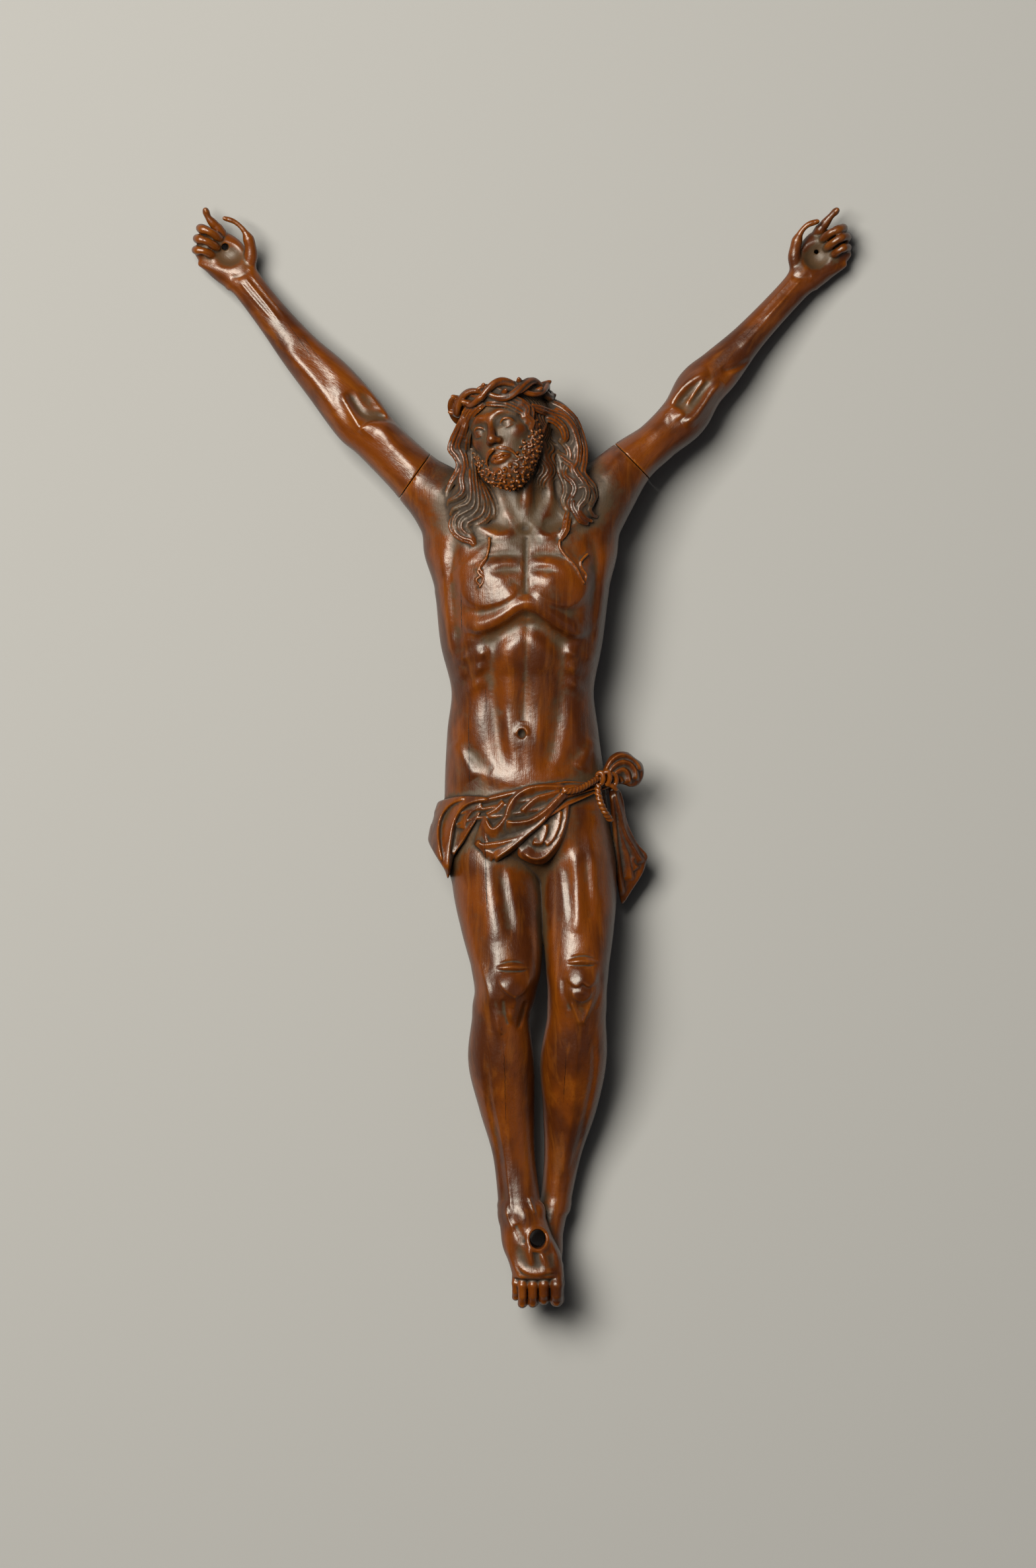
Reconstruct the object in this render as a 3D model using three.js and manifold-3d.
// A carved boxwood corpus: the crucified figure alone, made to be fixed to a cross, with no cross.
// Three pieces of wood: the figure with its head, loincloth and feet, and two arms glued on at the shoulders.
// Millimetres. The figure lies on its back. +X is the viewer's right, +Y runs from the feet to the head, and
// +Z is up, out of the chest. Z = 0 is the surface it lies on, and X = Y = 0 is the middle of its outline,
// once the drawing is moved there at the end.
import * as THREE from "three";
import { mergeVertices } from "three/addons/utils/BufferGeometryUtils.js";
import Module from "manifold-3d";

const wasm = await Module();
wasm.setup();

// Driving sizes. The whole figure is 448 mm from the raised fingertips to the toes.
const SEAM_GAP = 0.35; // open glue line between an arm and its shoulder
const NAIL_HOLE = { x: 6.1, y: -194, halfWidth: 3.2, halfLength: 3.8 }; // through both feet
const OUTLINE_MIDDLE = new THREE.Vector3(-0.47, 0.72, 0); // in the drawing below, whose zero is near the navel
const CLOTH_THICKNESS = 2.6;
const CROWN_RADIUS = 20.2;
const CROWN_STRAND_RADIUS = 2.4;
const TRUNK_SIDES = 60;
const LIMB_SIDES = 14;
const STRAND_SIDES = 6;
const MOST_TRIANGLES = { figure: 7400, arm: 1200 }; // skins are thinned to these where they are nearly flat
const REST_SNAP = 0.12;
const KEEP_EVEN = 2e-3; // how strongly thinning prefers short edges, which keeps the triangles even
const FAR = 600; // side of a block that cuts everything on one side of a plane

const BOXWOOD = new THREE.Color(0x8a4a17);

// A section of the trunk or of a leg: a level oval, seen along the body.
const section = (y, x, z, halfWidth, halfDepth) => [x, y, z, halfWidth, halfDepth];

const TRUNK = {
  collar: section(108, -0.5, 29, 12, 10),
  shoulders: section(100, -0.8, 27, 27, 14.5),
  armpits: section(86, -0.9, 26.5, 38.4, 19.5),
  breast: section(68, -0.3, 27, 35.2, 23),
  lowRibs: section(46, -0.5, 26.5, 32.6, 22),
  waist: section(27, 0, 25, 28.6, 18.5),
  navel: section(10, 0.1, 23, 30.4, 19),
  hips: section(-12, 1, 21.5, 32.4, 20.5),
  seat: section(-34, 2.4, 20.3, 34.2, 20.8),
  fork: section(-49, 5, 21, 29, 17),
  betweenLegs: section(-55, 5, 19, 20, 10),
};

const RIGHT_LEG = {
  hip: section(-22, -10, 20, 13, 14),
  groin: section(-38, -12.4, 21, 17.6, 18),
  thigh: section(-51.6, -10.5, 22.5, 17.4, 17.5),
  midThigh: section(-67.6, -8.7, 27, 15.8, 15.5),
  aboveKnee: section(-83.6, -6.7, 31.5, 13.8, 13.8),
  knee: section(-94.3, -6.9, 33.5, 12.4, 14),
  belowKnee: section(-105, -8.8, 31.5, 11.3, 12.6),
  calf: section(-123, -8.7, 27, 12.9, 13.2),
  lowCalf: section(-142, -6.4, 23.5, 10.9, 11),
  shin: section(-161, -3.5, 22, 8.4, 8.8),
  ankle: section(-183, -0.9, 22.5, 8.6, 8.6),
};

const LEFT_LEG = {
  hip: section(-22, 18, 20, 13, 14),
  groin: section(-38, 21.2, 20.6, 15.6, 17.8),
  thigh: section(-51.6, 22.4, 22, 15.2, 17),
  midThigh: section(-67.6, 22.4, 26, 14.1, 15),
  aboveKnee: section(-83.6, 22.1, 30, 12.5, 13.4),
  knee: section(-94.3, 22, 31.5, 11.9, 13.6),
  belowKnee: section(-105, 21.7, 29, 11.4, 12.2),
  calf: section(-123, 20.4, 23.5, 12.8, 12.6),
  lowCalf: section(-142, 19.1, 18, 10.5, 10.5),
  shin: section(-161, 16.2, 14, 7.3, 8.2),
  ankle: section(-183, 12.9, 11, 5.9, 7.4),
};

// A joint of an arm: where its middle is, half its width across the view, and half its depth.
const joint = (x, y, z, halfWidth, halfDepth) => [x, y, z, halfWidth, halfDepth];

const RIGHT_ARM = {
  root: joint(-18, 84, 26, 18, 16),
  deltoid: joint(-32.6, 104, 25.5, 13.6, 12.8),
  seam: joint(-43.3, 113.7, 23.5, 10.7, 10.8),
  biceps: joint(-58.4, 128.4, 21, 9.9, 9.9),
  elbow: joint(-66.1, 136.9, 19.5, 11.2, 9.4),
  forearm: joint(-78.4, 151.9, 17.5, 10.2, 8.8),
  midForearm: joint(-89.9, 164.3, 15.5, 8.3, 7.4),
  lowForearm: joint(-101, 178, 13, 6.8, 5.8),
  wrist: joint(-111.5, 191.6, 11, 6.5, 4.9),
  heel: joint(-114.8, 195.8, 9.4, 7.5, 5.2),
  palm: joint(-118.8, 200.4, 8, 8.8, 5),
  upperPalm: joint(-122.6, 204.6, 7, 9, 4.6),
  knuckles: joint(-126.8, 208.6, 6.4, 7.6, 4.2),
};

const LEFT_ARM = {
  root: joint(17, 85, 26, 18, 16),
  deltoid: joint(33.4, 107, 25.5, 13, 12.4),
  seam: joint(43.9, 119.5, 23.5, 9.8, 10.4),
  biceps: joint(54.4, 127.8, 21.5, 8.5, 9.4),
  elbow: joint(64.8, 137.4, 19.5, 9.6, 8.8),
  forearm: joint(72, 149.5, 18, 9.7, 8.6),
  midForearm: joint(80.5, 157.9, 16.5, 8.6, 7.6),
  lowForearm: joint(92.5, 171, 14, 6.3, 6),
  wrist: joint(110.1, 190, 11, 5.7, 4.7),
  heel: joint(114.6, 195.6, 9.4, 7.4, 5.2),
  palm: joint(118.8, 201, 8, 9, 5),
  upperPalm: joint(122.8, 205.6, 7, 9.4, 4.6),
  knuckles: joint(126.6, 208.8, 6.4, 8.4, 4.2),
};

// The seam where an arm is glued on: a point of it, and the way that the arm leaves.
const RIGHT_SEAM = { at: new THREE.Vector3(-43, 114, 23.5), out: new THREE.Vector3(-0.816, 0.578, 0) };
const LEFT_SEAM = { at: new THREE.Vector3(43.7, 119.9, 23.5), out: new THREE.Vector3(0.707, 0.707, 0) };

// The head leans to the viewer's left, turns that way and looks up.
const HEAD = new THREE.Matrix4()
  .makeRotationFromEuler(
    new THREE.Euler(
      THREE.MathUtils.degToRad(-12),
      THREE.MathUtils.degToRad(-22),
      THREE.MathUtils.degToRad(14),
      "ZXY",
    ),
  )
  .setPosition(-5.9, 131, 37);
const inHead = (x, y, z) => new THREE.Vector3(x, y, z).applyMatrix4(HEAD);

// Joining and cutting

function solid(geometry) {
  const bare = geometry.clone();
  bare.deleteAttribute("normal");
  bare.deleteAttribute("uv");
  const merged = mergeVertices(bare, 1e-4);
  const make = (triVerts) =>
    new wasm.Manifold(
      new wasm.Mesh({ numProp: 3, vertProperties: merged.attributes.position.array, triVerts }),
    );
  const made = make(new Uint32Array(merged.index.array));
  if (made.volume() > 0) return made;
  return make(new Uint32Array(merged.index.array).reverse());
}

const union = (solids) => solids.reduce((all, next) => all.add(next));

// Carved wood is solid all through: pockets that joined forms close off between them are filled.
const filled = (shape) => union(shape.decompose().filter((body) => body.volume() > 0));

// Everything on the far side of a plane: a block whose near face passes through `at`, square to `out`.
function blockBeyond(at, out) {
  const block = new THREE.BoxGeometry(FAR, FAR, FAR).translate(0, 0, FAR / 2);
  block.applyQuaternion(new THREE.Quaternion().setFromUnitVectors(new THREE.Vector3(0, 0, 1), out));
  return solid(block.translate(at.x, at.y, at.z));
}

function meshOf(name, shape, mostTriangles) {
  const geometry = thinned(shape.getMesh(), mostTriangles);
  const wood = new THREE.MeshStandardMaterial({ color: BOXWOOD, roughness: 0.32, metalness: 0 });
  const mesh = new THREE.Mesh(geometry, wood);
  mesh.name = name;
  return mesh;
}

// Thinning

// The squared distance to a plane, as the ten numbers of a symmetric 4 x 4 matrix.
const planeQuadric = (n, d) => [n.x * n.x, n.x * n.y, n.x * n.z, n.x * d, n.y * n.y, n.y * n.z, n.y * d, n.z * n.z, n.z * d, d * d];

function quadricError(q, { x, y, z }) {
  const squares = q[0] * x * x + q[4] * y * y + q[7] * z * z + q[9];
  return squares + 2 * (q[1] * x * y + q[2] * x * z + q[3] * x + q[5] * y * z + q[6] * y + q[8] * z);
}

// The point with the least error, or the best of the edge's ends and middle where the skin is flat. What is
// planed flat for the figure to lie on stays flat.
function bestPoint(q, a, b) {
  const choices = [a, b, a.clone().lerp(b, 0.5)];
  const normals = new THREE.Matrix3().set(q[0], q[1], q[2], q[1], q[4], q[5], q[2], q[5], q[7]);
  if (Math.abs(normals.determinant()) > 1e-3) {
    const least = new THREE.Vector3(-q[3], -q[6], -q[8]).applyMatrix3(normals.invert());
    if (least.z >= 0 && least.distanceTo(choices[2]) < a.distanceTo(b)) choices.push(least);
  }
  const best = choices.reduce((one, p) => (quadricError(q, p) < quadricError(q, one) ? p : one));
  return best.z < REST_SNAP ? best.clone().setZ(0) : best;
}

// Collapses the cheapest edges, pass by pass, until no more than `most` triangles are left.
function thinned(skin, most) {
  const at = Array.from({ length: skin.numVert }, (_, i) =>
    new THREE.Vector3().fromArray(skin.vertProperties, i * skin.numProp),
  );
  let faces = Array.from({ length: skin.numTri }, (_, i) => [...skin.triVerts.subarray(3 * i, 3 * i + 3)]);
  const quadrics = at.map(() => new Array(10).fill(0));
  const normal = ([a, b, c], where = (i) => at[i]) =>
    where(b).clone().sub(where(a)).cross(where(c).clone().sub(where(a)));
  for (const face of faces) {
    const n = normal(face);
    const weight = n.length();
    n.normalize();
    const plane = planeQuadric(n, -n.dot(at[face[0]]));
    for (const v of face) plane.forEach((value, k) => (quadrics[v][k] += weight * value));
  }
  while (faces.length > most) {
    const round = at.map(() => []);
    for (const face of faces) for (const v of face) round[v].push(face);
    const edges = faces
      .flatMap(([a, b, c]) => [[a, b], [b, c], [c, a]])
      .filter(([a, b]) => a < b)
      .map(([a, b]) => {
        const q = quadrics[a].map((value, k) => value + quadrics[b][k]);
        const to = bestPoint(q, at[a], at[b]);
        const cost = quadricError(q, to) + KEEP_EVEN * at[a].distanceToSquared(at[b]);
        return { a, b, q, to, cost };
      })
      .sort((one, other) => one.cost - other.cost);
    const touched = new Set();
    const before = faces.length;
    let left = before;
    for (const { a, b, q, to } of edges.slice(0, Math.ceil(edges.length / 4))) {
      if (left <= most) break;
      const near = new Set([...round[a], ...round[b]].flat());
      if ([...near].some((v) => touched.has(v))) continue;
      const nextTo = (v) => new Set(round[v].flat().filter((other) => other !== v));
      const shared = [...nextTo(a)].filter((v) => nextTo(b).has(v));
      if (shared.length !== 2) continue;
      const kept = [...round[a], ...round[b]].filter((face) => !(face.includes(a) && face.includes(b)));
      const moved = (i) => (i === a || i === b ? to : at[i]);
      const turnsOver = kept.some((face) => {
        const [old, next] = [normal(face), normal(face, moved)];
        return next.length() < 1e-3 || old.normalize().dot(next.normalize()) < 0.6;
      });
      if (turnsOver) continue;
      at[a] = to;
      quadrics[a] = q;
      for (const face of round[b]) face[face.indexOf(b)] = a;
      for (const v of near) touched.add(v);
      left -= 2;
    }
    faces = faces.filter(([a, b, c]) => a !== b && b !== c && c !== a);
    if (faces.length === before) break;
  }
  const used = [...new Set(faces.flat())];
  const renumbered = new Map(used.map((v, i) => [v, i]));
  return new THREE.BufferGeometry()
    .setFromPoints(used.map((v) => at[v]))
    .setIndex(faces.flat().map((v) => renumbered.get(v)));
}

// Lofts

// Rows of numbers turned into `count` rows that pass smoothly through them, by Catmull-Rom.
function smoothRows(rows, count) {
  const at = (i) => rows[Math.min(Math.max(i, 0), rows.length - 1)];
  return Array.from({ length: count }, (_, k) => {
    const s = (k / (count - 1)) * (rows.length - 1);
    const i = Math.min(Math.floor(s), rows.length - 2);
    const t = s - i;
    return at(i).map((_, c) => {
      const [p, q, r, u] = [at(i - 1)[c], at(i)[c], at(i + 1)[c], at(i + 2)[c]];
      return q + 0.5 * t * (r - p + t * (2 * p - 5 * q + 4 * r - u + t * (3 * (q - r) + u - p)));
    });
  });
}

// A closed skin over rings that have the same number of points. A ring of rings closes on itself.
function loft(rings, { closed = false } = {}) {
  const sides = rings[0].length;
  const points = rings.flat();
  const faces = [];
  const last = closed ? rings.length : rings.length - 1;
  for (let i = 0; i < last; i++) {
    const [here, next] = [i * sides, ((i + 1) % rings.length) * sides];
    for (let k = 0; k < sides; k++) {
      const k2 = (k + 1) % sides;
      faces.push(here + k, next + k, next + k2, here + k, next + k2, here + k2);
    }
  }
  if (!closed) {
    for (const [ring, start, turn] of [[rings[0], 0, 1], [rings.at(-1), (rings.length - 1) * sides, -1]]) {
      const middle = points.length;
      points.push(ring.reduce((sum, p) => sum.clone().add(p)).divideScalar(sides));
      for (let k = 0; k < sides; k++) {
        const pair = turn > 0 ? [start + k, start + ((k + 1) % sides)] : [start + ((k + 1) % sides), start + k];
        faces.push(middle, ...pair);
      }
    }
  }
  return solid(new THREE.BufferGeometry().setFromPoints(points).setIndex(faces));
}

const ringAngles = (sides) => Array.from({ length: sides }, (_, k) => (2 * Math.PI * k) / sides);

// Level sections stacked along Y. `relief(x, y, angle)` raises the carving on each section.
function stack(sections, { count, sides, relief = () => 0 }) {
  const rings = smoothRows(Object.values(sections), count).map(([x, y, z, halfWidth, halfDepth]) =>
    ringAngles(sides).map((angle) => {
      const px = x + halfWidth * Math.cos(angle);
      const pz = z + halfDepth * Math.sin(angle) + relief(px, y, angle);
      return new THREE.Vector3(px, y, pz);
    }),
  );
  return loft(rings);
}

// A limb through joints: oval across its own line, flat in the view by halfWidth and deep by halfDepth,
// with a rounded end of `endLength` at each end.
function limb(joints, { count, sides = LIMB_SIDES, endLength = 2 }) {
  const rows = smoothRows(Object.values(joints), count);
  const rings = rows.map(([x, y, z, halfWidth, halfDepth], i) => {
    const before = rows[Math.max(i - 1, 0)];
    const after = rows[Math.min(i + 1, rows.length - 1)];
    const along = new THREE.Vector3(after[0] - before[0], after[1] - before[1], after[2] - before[2]).normalize();
    const across = new THREE.Vector3(0, 0, 1).cross(along).normalize();
    const up = along.clone().cross(across);
    return ringAngles(sides).map((angle) =>
      new THREE.Vector3(x, y, z)
        .addScaledVector(across, halfWidth * Math.cos(angle))
        .addScaledVector(up, halfDepth * Math.sin(angle)),
    );
  });
  return loft([...roundEnd(rings, 0, 1, endLength).reverse(), ...rings, ...roundEnd(rings, -1, -2, endLength)]);
}

// Smaller rings beyond an end ring, so that a limb ends in a dome.
function roundEnd(rings, end, inner, endLength) {
  const middle = (ring) => ring.reduce((sum, p) => sum.clone().add(p)).divideScalar(ring.length);
  const from = middle(rings.at(end));
  const out = from.clone().sub(middle(rings.at(inner))).normalize();
  return [40, 72].map(THREE.MathUtils.degToRad).map((angle) =>
    rings.at(end).map((p) =>
      p.clone().sub(from).multiplyScalar(Math.cos(angle)).add(from).addScaledVector(out, endLength * Math.sin(angle)),
    ),
  );
}

// A finger, toe, lock of hair or cord: a round strand through points, thinning from its root to its tip.
function strand(points, rootRadius, tipRadius, { steps = 8, sides = STRAND_SIDES } = {}) {
  const curve = new THREE.CatmullRomCurve3(points);
  const frames = curve.computeFrenetFrames(steps, false);
  const rings = Array.from({ length: steps + 1 }, (_, i) => {
    const centre = curve.getPoint(i / steps);
    const radius = THREE.MathUtils.lerp(rootRadius, tipRadius, i / steps);
    return ringAngles(sides).map((angle) =>
      centre
        .clone()
        .addScaledVector(frames.normals[i], radius * Math.cos(angle))
        .addScaledVector(frames.binormals[i], radius * Math.sin(angle)),
    );
  });
  return loft([...rings, roundEnd(rings, -1, -2, tipRadius)[0]]);
}

const points = (...rows) => rows.map(([x, y, z]) => new THREE.Vector3(x, y, z));

function egg(centre, halfX, halfY, halfZ, { across = 14, down = 9, turn = null } = {}) {
  const shape = new THREE.SphereGeometry(1, across, down).scale(halfX, halfY, halfZ);
  if (turn) shape.applyMatrix4(new THREE.Matrix4().extractRotation(turn));
  return solid(shape.translate(centre.x, centre.y, centre.z));
}

// Trunk

const bump = (distance, width) => Math.exp(-((distance / width) ** 2));
const rise = (t) => THREE.MathUtils.smoothstep(t, 0, 1);

// Lines cut into the front of the trunk or raised on it: where each runs, how wide it is and how high.
const TRUNK_LINES = [
  // The arch of the ribs, a gull's wing across the front, and the hollow right under it.
  { path: [[-27, 56], [-24, 52.6], [-19, 49.6], [-12.5, 51], [-7, 56.2], [1.2, 60.4]], width: 1.9, height: 1.9 },
  { path: [[1.2, 60.4], [10.4, 57.4], [16.6, 52.2], [22.4, 49.4], [27.2, 53]], width: 1.9, height: 1.9 },
  { path: [[-26, 48.6], [-19, 45.8], [-12, 46.6], [-6, 51.2]], width: 3.4, height: -3 },
  { path: [[7.6, 52.4], [15.4, 47.4], [22.6, 45.4], [28, 48.4]], width: 3.4, height: -3 },
  { path: [[1.1, 89], [1, 62]], width: 1.7, height: -1.5 },
  { path: [[1.4, 57], [1, 38], [0.6, 22]], width: 2.1, height: -1.5 },
  // The breast muscles' lower edges, the ribs beside the breastbone and the collarbones.
  { path: [[-26, 69], [-19, 64.4], [-9, 65.2], [-2.5, 68]], width: 2, height: -1.1 },
  { path: [[4.5, 68], [11, 65.2], [21, 64.4], [28, 69]], width: 2, height: -1.1 },
  { path: [[-9, 81.4], [11, 82]], width: 1.5, height: 0.8 },
  { path: [[-9.5, 76.6], [12, 77.2]], width: 1.5, height: 0.8 },
  { path: [[-3, 91.5], [-14, 94], [-24, 99]], width: 2.2, height: 1.5 },
  { path: [[5, 91.5], [15, 94], [25, 99.6]], width: 2.2, height: 1.5 },
  // The flanks' ribs, the belly's sides and the groins.
  { path: [[-30, 60], [-23, 42]], width: 1.8, height: -0.9 },
  { path: [[31, 60], [24.5, 42]], width: 1.8, height: -0.9 },
  { path: [[-27.5, 43], [-20, 38]], width: 2, height: 1.1 },
  { path: [[-26, 36], [-19, 31]], width: 2, height: 1.1 },
  { path: [[28, 43], [21.5, 38]], width: 2, height: 1.1 },
  { path: [[26.5, 36], [20.5, 31]], width: 2, height: 1.1 },
  { path: [[-13.5, 44], [-13, 24], [-10.6, 8], [-8.6, -6]], width: 2.6, height: -1.4 },
  { path: [[15, 44], [14.4, 24], [12, 8], [9.6, -6]], width: 2.6, height: -1.4 },
  { path: [[-25, 7], [-16, -3], [-7, -11]], width: 2.8, height: -1.7 },
  { path: [[26.5, 7], [18, -3], [10, -10]], width: 2.8, height: -1.7 },
];

// The height that a carved line adds at (x, y): greatest on its path, and gone a few widths away.
const lineHeight = (x, y, { path, width, height }) => {
  const here = new THREE.Vector3(x, y, 0);
  const near = path.slice(1).map(([x2, y2], i) => {
    const line = new THREE.Line3(new THREE.Vector3(...path[i], 0), new THREE.Vector3(x2, y2, 0));
    return line.closestPointToPoint(here, true, new THREE.Vector3()).distanceTo(here);
  });
  return height * bump(Math.min(...near), width);
};

function trunkRelief(x, y, angle) {
  const front = rise(Math.sin(angle) / 0.45);
  const middle = x - 0.8;
  const breast = 2.2 * bump(Math.abs(middle) - 15, 10) * bump(y - 74, 11);
  const belly = 1.6 * bump(middle, 13) * bump(y - 1, 13);
  const lines = TRUNK_LINES.reduce((sum, line) => sum + lineHeight(x, y, line), 0);
  const back = rise(-Math.sin(angle) / 0.45);
  const shoulderBlades = 11 * bump(Math.abs(middle) - 14, 10) * bump(y - 80, 14);
  return front * (breast + belly + lines) - back * shoulderBlades;
}

// The point of the trunk's front under (x, y), raised by `lift`.
function onTrunk(x, y, lift = 0) {
  const rows = smoothRows(Object.values(TRUNK), 300);
  const [cx, , cz, halfWidth, halfDepth] = rows.reduce((best, row) =>
    Math.abs(row[1] - y) < Math.abs(best[1] - y) ? row : best,
  );
  const sine = Math.sqrt(Math.max(0, 1 - ((x - cx) / halfWidth) ** 2));
  return new THREE.Vector3(x, y, cz + halfDepth * sine + trunkRelief(x, y, Math.asin(sine)) + lift);
}

function trunk() {
  const torso = stack(TRUNK, { count: 76, sides: TRUNK_SIDES, relief: trunkRelief });
  const navel = egg(new THREE.Vector3(-0.3, 10.5, 44.4), 2.2, 2.8, 3, { across: 8, down: 6 });
  const neck = limb(
    {
      pit: joint(-1, 93, 26, 14, 11.5),
      throat: joint(-0.6, 103, 29, 13.2, 11),
      nape: joint(-2, 116, 31, 12.6, 11),
      skull: joint(-4, 126, 33, 11, 11),
    },
    { count: 7 },
  );
  return union([torso, neck]).subtract(navel);
}

// Legs and feet

const shinRelief = (legX) => (x, y, angle) => {
  const front = rise(Math.sin(angle) / 0.6);
  const kneecap = 2 * bump(x - legX, 5.5) * bump(y + 91, 6.5);
  const belowCap = 1.2 * bump(x - legX, 3) * bump(y + 103, 4);
  return front * (kneecap + belowCap);
};

function legs() {
  return union([
    stack(RIGHT_LEG, { count: 40, sides: 26, relief: shinRelief(-5) }),
    stack(LEFT_LEG, { count: 40, sides: 26, relief: shinRelief(23) }),
  ]);
}

// Toes from the big one to the little one: where each is across the foot, its radius and its reach.
const TOES = [
  { x: 13.6, radius: 2.5, reach: 10.2 },
  { x: 8.4, radius: 2.1, reach: 9.6 },
  { x: 4, radius: 1.9, reach: 10.4 },
  { x: 0.4, radius: 1.8, reach: 11 },
  { x: -1.6, radius: 1.8, reach: 10.6 },
];

function toes(dx, z, curl) {
  const rootY = -211.5;
  return TOES.map(({ x, radius, reach }) =>
    strand(
      points(
        [x + dx, rootY + 2, z - 1],
        [x + dx, rootY - 0.45 * reach, z + 1],
        [x + dx, rootY - reach + radius, z - curl],
      ),
      radius * 1.05,
      radius,
      { steps: 4, sides: 7 },
    ),
  );
}

function feet() {
  const rightFoot = limb(
    {
      ankle: joint(-0.9, -181, 22.5, 8.6, 8.8),
      instep: joint(1.6, -193, 24.8, 9.8, 8.6),
      arch: joint(4.8, -202, 26.6, 10.4, 6.8),
      ball: joint(6.2, -212, 28, 9.8, 4.6),
    },
    { count: 9, sides: 16, endLength: 2.5 },
  );
  const leftFoot = limb(
    {
      ankle: joint(12.8, -181, 11, 5.8, 7.6),
      instep: joint(9, -193, 12.6, 7, 8.2),
      arch: joint(7.2, -202, 15.4, 8.4, 6.6),
      ball: joint(6.2, -212, 17.4, 9.2, 4.8),
    },
    { count: 9, sides: 16, endLength: 2.5 },
  );
  const ankleBones = [
    egg(new THREE.Vector3(-7, -185.5, 22.6), 2.8, 4, 4, { across: 8, down: 6 }),
    egg(new THREE.Vector3(6, -183.5, 25), 3, 4, 4, { across: 8, down: 6 }),
  ];
  const heels = [
    egg(new THREE.Vector3(-0.6, -192.5, 15.5), 7.4, 8, 7.5, { across: 12, down: 8 }),
    egg(new THREE.Vector3(10.4, -190.5, 4.9), 5.8, 7.6, 6.4, { across: 12, down: 8 }),
  ];
  const nailHole = solid(
    new THREE.CylinderGeometry(1, 1, 80, 16)
      .rotateX(Math.PI / 2)
      .scale(NAIL_HOLE.halfWidth, NAIL_HOLE.halfLength, 1)
      .translate(NAIL_HOLE.x, NAIL_HOLE.y, 20),
  );
  const both = union([rightFoot, leftFoot, ...heels, ...ankleBones, ...toes(0, 28, 1.5), ...toes(0.6, 17.6, 1)]);
  return { feet: both, nailHole };
}

// Arms and hands

// Three fingers are curled over the palm and the index finger is raised. Points run from a root to its tip.
const RIGHT_FINGERS = [
  { path: [[-126.2, 211.2, 6], [-130.8, 213.2, 9.5], [-130.2, 213, 13.6], [-125, 211.6, 14.6], [-122.8, 210.6, 12.4]] },
  { path: [[-128, 208.4, 6], [-132.2, 209.4, 9], [-131.4, 209, 13.4], [-126.4, 207.4, 14.6], [-123.8, 206.2, 12]] },
  { path: [[-128.4, 205.2, 6], [-132.2, 204.8, 8.6], [-131.6, 204.4, 12.4], [-127.6, 203, 13.4], [-125.4, 202.4, 11.4]] },
  { path: [[-124.4, 211, 8], [-125.4, 216, 10], [-127.4, 220.2, 11.4], [-128.6, 222.4, 11.6]], root: 2.3, tip: 1.4 },
  {
    path: [[-113, 196, 10], [-111.2, 203, 11.4], [-112, 210, 12.6], [-114.6, 214.6, 13.2], [-120.4, 218.2, 13.4]],
    root: 3.6,
    tip: 1.2,
  },
];

const LEFT_FINGERS = [
  { path: [[126.6, 212.2, 6], [129.6, 214, 10], [127.4, 213.4, 14], [122.8, 210.8, 15], [120.6, 209.4, 12.4]] },
  { path: [[128, 209.4, 6], [131.2, 210.4, 10], [129, 209.8, 14], [124.6, 206.8, 15], [122.4, 205.2, 12.2]] },
  { path: [[128.6, 206, 6], [131.6, 206, 9], [130.2, 205.8, 12.8], [126.4, 203, 13.6], [124, 201, 11.4]] },
  { path: [[117.4, 211, 8], [119, 214.4, 9.6], [123.6, 218, 11.4], [127.2, 222.4, 12]], root: 2.4, tip: 1.5 },
  {
    path: [[111, 196, 10], [110, 202, 11.6], [111, 208.6, 12.8], [113.4, 213, 13.8], [116, 214.8, 14.4]],
    root: 3.4,
    tip: 1.7,
  },
];

const fingers = (hand) =>
  hand.map(({ path, root = 2.2, tip = 1.9 }) => strand(points(...path), root, tip, { steps: 9, sides: 8 }));

// The shoulder side and the arm side of a limb that is cut at its seam.
function armWithShoulder(joints, seam, hand) {
  const whole = limb(joints, { count: 25, sides: LIMB_SIDES, endLength: 3 });
  const half = seam.out.clone().multiplyScalar(SEAM_GAP / 2);
  const outward = blockBeyond(seam.at.clone().sub(half), seam.out);
  const inward = blockBeyond(seam.at.clone().add(half), seam.out.clone().negate());
  return { shoulder: whole.subtract(outward), arm: union([whole.subtract(inward), ...fingers(hand)]) };
}

// Head, hair, beard and crown

function head() {
  const skull = egg(inHead(0, 3, -2), 15.4, 19.5, 18.6, { turn: HEAD });
  const face = egg(inHead(0, -6, 5.6), 11.6, 16.2, 11.6, { turn: HEAD });
  const brow = strand([[-9, 3.6, 13], [0, 4.4, 17.2], [9, 3.6, 13]].map((p) => inHead(...p)), 2, 2, { steps: 4 });
  const nose = strand([[0, 3, 15.4], [0, -3, 18.2], [0, -7.6, 18.9]].map((p) => inHead(...p)), 1.5, 2.2, { steps: 3 });
  const lips = strand([[-3.6, -13.2, 14.6], [0, -12.8, 16.4], [3.6, -13.2, 14.6]].map((p) => inHead(...p)), 1.1, 1.1, {
    steps: 4,
  });
  return [skull, face, brow, nose, lips];
}

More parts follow.
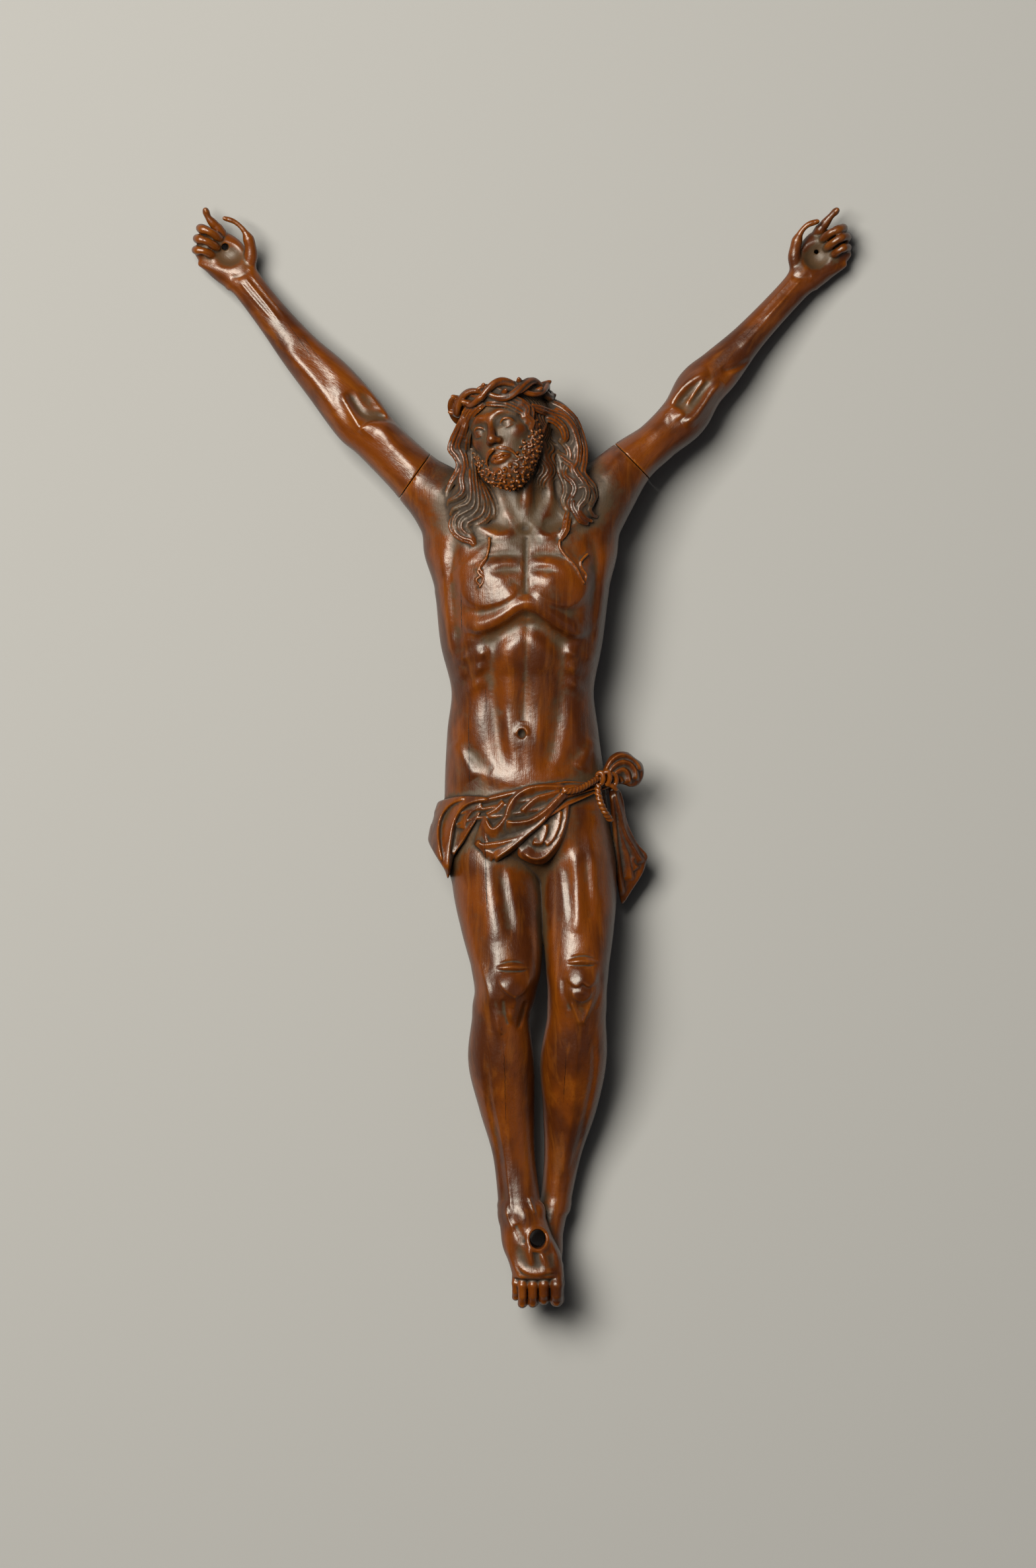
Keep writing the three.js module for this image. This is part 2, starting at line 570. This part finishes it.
function beard() {
  const chin = egg(inHead(0, -17, 8.6), 9.4, 7.6, 9.4, { turn: HEAD });
  const curls = [-62, -38, -13, 13, 38, 62].map((degrees) => {
    const a = THREE.MathUtils.degToRad(degrees);
    return egg(inHead(9.4 * Math.sin(a), -19 + 2.4 * Math.sin(a) ** 2, 4 + 11 * Math.cos(a)), 3.2, 4.6, 3.2, {
      across: 7,
      down: 5,
      turn: HEAD,
    });
  });
  const moustache = [-1, 1].map((s) =>
    strand([[0, -10.6, 17], [s * 4, -11.8, 15.8], [s * 7.2, -15, 12.6]].map((p) => inHead(...p)), 1.7, 1, { steps: 4 }),
  );
  return [chin, ...curls, ...moustache];
}

// A lock that waves from its root to its tip: `swing` to each side, `waves` times, in the plane of the view.
function lock(root, tip, { swing, waves, rootRadius, tipRadius, sag = 0 }) {
  const steps = Math.max(6, Math.round(waves * 5));
  const path = Array.from({ length: steps + 1 }, (_, i) => {
    const t = i / steps;
    const p = new THREE.Vector3().lerpVectors(root, tip, t);
    const wave = swing * Math.sin(2 * Math.PI * waves * t) * Math.min(1, 3 * t);
    return p.add(new THREE.Vector3(wave, 0.25 * wave, sag * Math.sin(Math.PI * t)));
  });
  return strand(path, rootRadius, tipRadius, { steps: steps + 2 });
}

function hair() {
  const cap = egg(inHead(0, 5, -3.5), 17.4, 19.6, 19, { across: 20, down: 14, turn: HEAD });
  const nape = egg(inHead(0, -12, -9), 15, 16, 9.5, { turn: HEAD });
  const rightFall = [
    { from: [-16, 4, 7], to: [-28.4, 99], swing: 2, waves: 1.6, rootRadius: 3, tipRadius: 3.6, sag: 3 },
    { from: [-16.6, 0, 4], to: [-24.4, 93], swing: 2.2, waves: 1.8, rootRadius: 3.4, tipRadius: 3, sag: 4 },
    { from: [-15.4, -3, 6], to: [-20.6, 88.5], swing: 2, waves: 1.7, rootRadius: 3.4, tipRadius: 1.6, sag: 5 },
    { from: [-14.6, -8, 5], to: [-17, 94], swing: 1.7, waves: 1.3, rootRadius: 3.4, tipRadius: 3.2, sag: 4 },
    { from: [-13, -13, 4], to: [-12.6, 98], swing: 1.5, waves: 1.1, rootRadius: 3.2, tipRadius: 2.8, sag: 3 },
  ];
  const leftFall = [
    { from: [16, 3, 2], to: [17, 104], swing: 1.4, waves: 1, rootRadius: 3.6, tipRadius: 3.6, sag: 4 },
    { from: [17.6, 5, -1], to: [24, 102], swing: -1.8, waves: 1.4, rootRadius: 4, tipRadius: 3.8, sag: 5 },
    { from: [18.6, 6, -6], to: [26.4, 98], swing: 2.2, waves: 1.5, rootRadius: 4.4, tipRadius: 3.6, sag: 5 },
    { from: [17, -2, -3], to: [31, 93.6], swing: 2.4, waves: 1.8, rootRadius: 4, tipRadius: 1.8, sag: 4 },
  ];
  const shoulderHeight = 42;
  const locks = [...rightFall, ...leftFall].map(({ from, to: [x, y], ...shape }) =>
    lock(inHead(...from), new THREE.Vector3(x, y, shoulderHeight), shape),
  );
  const sideVolume = egg(new THREE.Vector3(19, 121, 33), 6, 14, 7, { across: 12, down: 8 });
  const wisps = [
    [[21, 95], [17.6, 90], [16.4, 84], [21, 77], [23.8, 70]],
    [[-15, 88], [-17.6, 80], [-16.4, 73], [-15.4, 68.6]],
  ].map((path) => strand(path.map(([x, y]) => onTrunk(x, y, 0.4)), 1.7, 1.4, { steps: 9, sides: 6 }));
  const parting = [-1, 1].map((s) =>
    strand([[0, 12, 15.4], [s * 7, 10.6, 14.4], [s * 13, 6.6, 9.8], [s * 15.6, 1, 5]].map((p) => inHead(...p)), 2.2, 2.8),
  );
  return [cap, nape, sideVolume, ...locks, ...wisps, ...parting];
}

// Two thick twigs wound round each other in a ring, with a few cut thorns.
function crown() {
  const centre = 11.4;
  const height = 3.2;
  const turns = 4;
  const steps = 40;
  const twigs = [0, Math.PI].map((phase) => {
    const centreLine = ringAngles(steps).map((a) => {
      const r = CROWN_RADIUS + 1.1 * Math.cos(turns * a + phase);
      return new THREE.Vector3(r * 0.93 * Math.sin(a), centre + height * Math.sin(turns * a + phase), r * Math.cos(a) - 1.5);
    });
    const rings = centreLine.map((p, i) => {
      const along = centreLine[(i + 1) % steps].clone().sub(centreLine.at(i - 1)).normalize();
      const out = new THREE.Vector3(p.x, 0, p.z).normalize();
      const across = along.clone().cross(out).normalize();
      return ringAngles(STRAND_SIDES).map((angle) =>
        p
          .clone()
          .addScaledVector(out, CROWN_STRAND_RADIUS * Math.cos(angle))
          .addScaledVector(across, CROWN_STRAND_RADIUS * Math.sin(angle))
          .applyMatrix4(HEAD),
      );
    });
    return loft(rings, { closed: true });
  });
  const thorns = [-150, -95, -55, -10, 30, 75, 120].map((degrees, i) => {
    const a = THREE.MathUtils.degToRad(degrees);
    const y = centre + (i % 2 ? 2.6 : -2);
    const reach = (r) => inHead(r * 0.93 * Math.sin(a), y + 0.3 * (r - 20), r * Math.cos(a) - 1.5);
    return strand([reach(18), reach(21), reach(24.6)], 2.1, 1.3, { steps: 2, sides: 5 });
  });
  return [...twigs, ...thorns];
}

// Loincloth, cord and knot

// Where the cloth's top and bottom edges pass round the hips. Angles run from the viewer's right, over the front.
const CLOTH_EDGES = [
  { degrees: 0, top: -4.5, bottom: -11 },
  { degrees: 35, top: -10, bottom: -14 },
  { degrees: 62, top: -9.5, bottom: -20 },
  { degrees: 80, top: -10.6, bottom: -38 },
  { degrees: 100, top: -13, bottom: -41.5 },
  { degrees: 124, top: -15.5, bottom: -34 },
  { degrees: 148, top: -15.6, bottom: -49 },
  { degrees: 163, top: -17.6, bottom: -41 },
  { degrees: 180, top: -21, bottom: -31 },
  { degrees: 215, top: -16, bottom: -36 },
  { degrees: 270, top: -12, bottom: -36 },
  { degrees: 325, top: -6, bottom: -20 },
].map(({ degrees, top, bottom }) => [degrees, top, bottom]);

function clothEdges(degrees) {
  const wrapped = ((degrees % 360) + 360) % 360;
  const rows = [...CLOTH_EDGES, [360, CLOTH_EDGES[0][1], CLOTH_EDGES[0][2]]];
  const i = rows.findIndex((row, k) => k < rows.length - 1 && wrapped < rows[k + 1][0]);
  const t = rise((wrapped - rows[i][0]) / (rows[i + 1][0] - rows[i][0]));
  return { top: THREE.MathUtils.lerp(rows[i][1], rows[i + 1][1], t), bottom: THREE.MathUtils.lerp(rows[i][2], rows[i + 1][2], t) };
}

// The folds run from the knot on the viewer's right down to the left, and hang in a flap at the left hip.
const CLOTH_FOLDS = [
  [[17.5, -10.6], [6.4, -12.4], [-4.6, -14.6], [-11.6, -20]],
  [[17.5, -11.4], [8.3, -15], [-0.9, -21], [-8.2, -25.5], [-14.7, -30]],
  [[17.5, -12.6], [10.1, -20], [-0.9, -29.1], [-10.1, -36.5], [-13.4, -41]],
  [[17.9, -13.5], [14.7, -22.4], [6.4, -32], [-4.6, -38.8], [-11.9, -42]],
  [[17.5, -17.2], [17, -27.3], [13.8, -36], [8.3, -41.5], [1.8, -42]],
  [[-12.9, -17.2], [-22.1, -16.6], [-32.2, -18.8], [-38.6, -23]],
  [[-13.4, -19], [-20.2, -23.6], [-27.6, -31], [-31.3, -39.3], [-30, -48]],
  [[-19.3, -20], [-26.7, -23.6], [-34, -30], [-36.8, -37]],
  [[-14.7, -23.6], [-18.4, -28.4], [-23.9, -34.4], [-27.6, -41]],
].map((path) => ({ path, width: 1.9, height: 3 }));

// The cloth is a ring: at each angle a flat loop runs down its outside and back up inside the hips.
function loincloth() {
  const hip = { x: 1.4, z: 21, halfWidth: 33, halfDepth: 20.4 };
  const across = 15;
  const around = 120;
  const rings = ringAngles(around).map((a) => {
    const degrees = THREE.MathUtils.radToDeg(a);
    const { top, bottom } = clothEdges(degrees);
    const flare = 5 * bump(degrees - 172, 22);
    const onHip = (t, out) => {
      const y = THREE.MathUtils.lerp(top, bottom, t);
      const x = hip.x + (hip.halfWidth + CLOTH_THICKNESS) * Math.cos(a);
      const front = Math.sin(a) > -0.2;
      const folds = Math.max(...CLOTH_FOLDS.map((fold) => lineHeight(x, y, fold)));
      const backFold = 0.8 * Math.sin(4 * Math.PI * t);
      const r = out * (CLOTH_THICKNESS + flare * t) + (out > 0 ? (front ? folds : backFold) : 0);
      return new THREE.Vector3(hip.x + (hip.halfWidth + r) * Math.cos(a), y, hip.z + (hip.halfDepth + r) * Math.sin(a));
    };
    const outside = Array.from({ length: across }, (_, k) => onHip(k / (across - 1), 1));
    const inside = [onHip(1, -1.6), onHip(0, -1.6)];
    return [...outside, ...inside];
  });
  return loft(rings, { closed: true });
}

function knotAndTail() {
  const cord = strand(points([14, -11.6, 44], [24, -12, 39], [30, -8.8, 33], [34, -7, 29]), 2, 1.9, { steps: 6 });
  const knot = egg(new THREE.Vector3(34, -8, 30), 4.6, 4.2, 4.6, { across: 10, down: 7 });
  const cordEnd = strand(points([33, -9, 33], [33.4, -16, 35.5], [36, -25, 34.5]), 2, 1.6, { steps: 4 });
  const bunch = [
    points([33, -6.6, 28], [37, -0.6, 28.6], [42, 0.2, 27.6], [47, -2.4, 25]),
    points([34, -8, 28], [40, -3.6, 29.4], [45, -4.6, 27.4], [48.6, -7.4, 24]),
    points([34, -9, 28], [40, -7, 28.6], [44.6, -9.6, 26], [45.4, -12, 24]),
  ].map((path) => strand(path, 2.6, 2.5, { steps: 7, sides: 7 }));
  const tail = limb(
    {
      top: joint(36, -11, 24, 3, 3.4),
      upper: joint(38.6, -22, 21, 3.6, 3),
      middle: joint(41.6, -33, 18, 5.4, 2.4),
      wide: joint(43.6, -43, 16, 6.2, 2.2),
      tip: joint(40.6, -57.6, 14, 2.4, 2),
    },
    { count: 10, sides: 12, endLength: 1 },
  );
  const tailFolds = [
    points([35, -11, 27.4], [37.6, -22, 24], [40.6, -36, 20], [45.6, -44, 18]),
    points([34.6, -11, 24], [36.4, -24, 20], [37.6, -38, 17.4], [39.6, -53, 15.6]),
  ].map((path) => strand(path, 2.2, 1.3, { steps: 6 }));
  return [cord, knot, cordEnd, ...bunch, tail, ...tailFolds];
}

// The whole figure

function corpus() {
  const { feet: bothFeet, nailHole } = feet();
  const right = armWithShoulder(RIGHT_ARM, RIGHT_SEAM, RIGHT_FINGERS);
  const left = armWithShoulder(LEFT_ARM, LEFT_SEAM, LEFT_FINGERS);
  const carved = union([
    trunk(),
    legs(),
    bothFeet,
    right.shoulder,
    left.shoulder,
    ...head(),
    ...hair(),
    ...beard(),
    ...crown(),
    loincloth(),
    ...knotAndTail(),
  ]);
  // The back is planed flat where the figure lies against a cross.
  const underTheBack = blockBeyond(new THREE.Vector3(0, 0, 0), new THREE.Vector3(0, 0, -1));
  const planed = (shape) => filled(shape.subtract(underTheBack));
  const group = new THREE.Group();
  group.position.copy(OUTLINE_MIDDLE).negate();
  group.add(
    meshOf("figure_with_loincloth", planed(carved.subtract(nailHole)), MOST_TRIANGLES.figure),
    meshOf("right_arm", planed(right.arm), MOST_TRIANGLES.arm),
    meshOf("left_arm", planed(left.arm), MOST_TRIANGLES.arm),
  );
  return group;
}

export default corpus();
